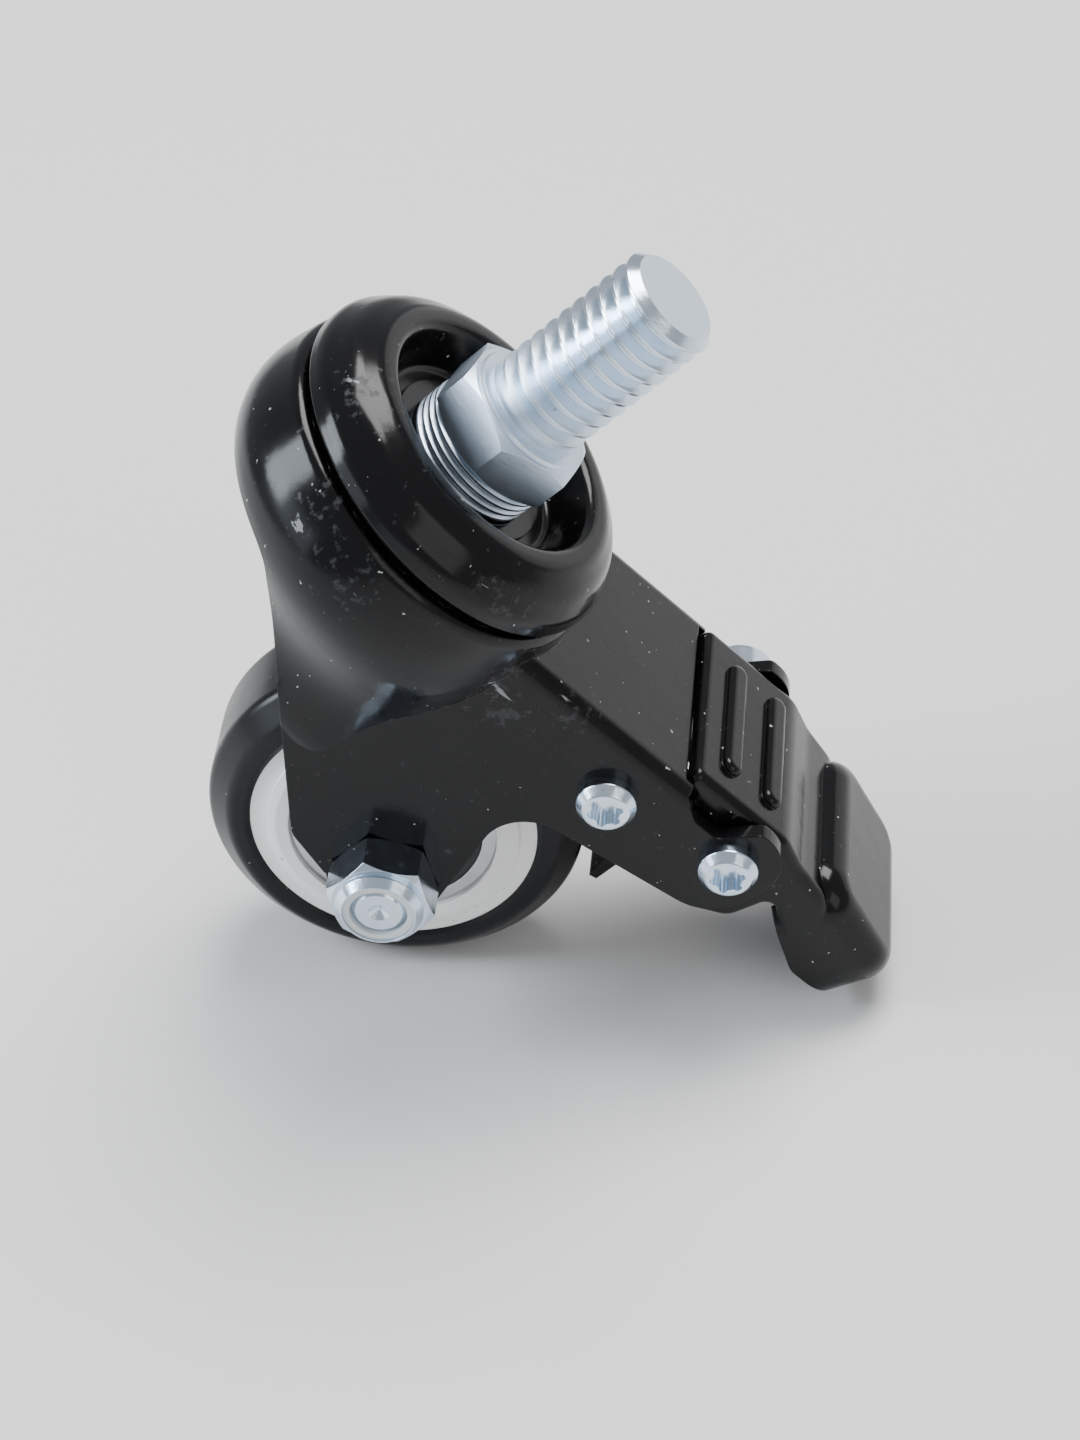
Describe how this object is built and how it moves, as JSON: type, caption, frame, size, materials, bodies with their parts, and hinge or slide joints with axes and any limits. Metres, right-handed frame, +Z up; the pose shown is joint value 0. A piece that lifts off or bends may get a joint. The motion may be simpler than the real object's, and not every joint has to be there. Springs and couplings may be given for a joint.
{
  "type": "swivel stem caster",
  "caption": "Small swivel caster with a threaded stem, pressed-steel fork, ball-bearing wheel and a foot-pedal brake on its tail.",
  "frame": {"origin": "on the swivel axis, at the top face of the stem's hexagon where the threaded stem starts", "axes": "+Z up the threaded stem along the swivel axis, +X from the swivel axis towards the brake pedal, -Y the side of the axle nut"},
  "size_m": [0.0928, 0.04, 0.085],
  "materials": {
    "zinc": "bright zinc plate",
    "raw_steel": "plain cold-rolled steel",
    "bearing_steel": "polished",
    "black_paint": "gloss black dipped coat",
    "black_plastic": "matte black",
    "white_plastic": "moulded, satin",
    "nylon": "milky, waxy",
    "tread": "glossy black polyurethane"
  },
  "bodies": {
    "head": {"threaded_stem": "zinc", "seat_washer": "black_paint", "top_cap": "black_paint", "lower_race": "raw_steel"},
    "upper_ball_ring": {"upper_balls": "bearing_steel"},
    "lower_ball_ring": {"lower_balls": "bearing_steel"},
    "fork": {"fork": "black_paint", "dust_ring": "black_plastic", "front_rivet": "zinc", "pedal_rivet": "zinc", "front_tube": "raw_steel", "pedal_tube": "raw_steel", "detent_spring": "raw_steel", "axle_bolt": "zinc", "axle_nut": "zinc", "nut_insert": "nylon", "axle_sleeve": "raw_steel", "side_spacers": "raw_steel", "bearing_inner_rings": "bearing_steel"},
    "bearing_ball_ring": {"bearing_balls": "bearing_steel"},
    "wheel": {"wheel_core": "white_plastic", "tyre": "tread", "bearing_outer_rings": "bearing_steel", "bearing_shields": "black_plastic"},
    "pedal": {"brake_pedal": "black_paint", "brake_shoe": "black_paint"}
  },
  "joints": [
    {"name": "swivel", "type": "hinge", "parent": "head", "child": "fork", "pos_m": [0, 0, 0], "axis": [0, 0, 1], "continuous": true},
    {"name": "upper_ball_orbit", "type": "hinge", "parent": "head", "child": "upper_ball_ring", "pos_m": [0, 0, 0], "axis": [0, 0, 1], "continuous": true},
    {"name": "lower_ball_orbit", "type": "hinge", "parent": "head", "child": "lower_ball_ring", "pos_m": [0, 0, 0], "axis": [0, 0, 1], "continuous": true},
    {"name": "wheel_spin", "type": "hinge", "parent": "fork", "child": "wheel", "pos_m": [0.025, 0, -0.0459], "axis": [0, 1, 0], "continuous": true},
    {"name": "bearing_ball_orbit", "type": "hinge", "parent": "fork", "child": "bearing_ball_ring", "pos_m": [0.025, 0, -0.0459], "axis": [0, 1, 0], "continuous": true},
    {"name": "pedal_hinge", "type": "hinge", "parent": "fork", "child": "pedal", "pos_m": [0.0472, 0, -0.018], "axis": [0, 1, 0], "range_deg": [0, 6.5]}
  ],
  "couplings": [
    {"joint": "upper_ball_orbit", "follows": "swivel", "ratio": 0.5},
    {"joint": "lower_ball_orbit", "follows": "swivel", "ratio": 0.5},
    {"joint": "bearing_ball_orbit", "follows": "wheel_spin", "ratio": 0.615}
  ]
}
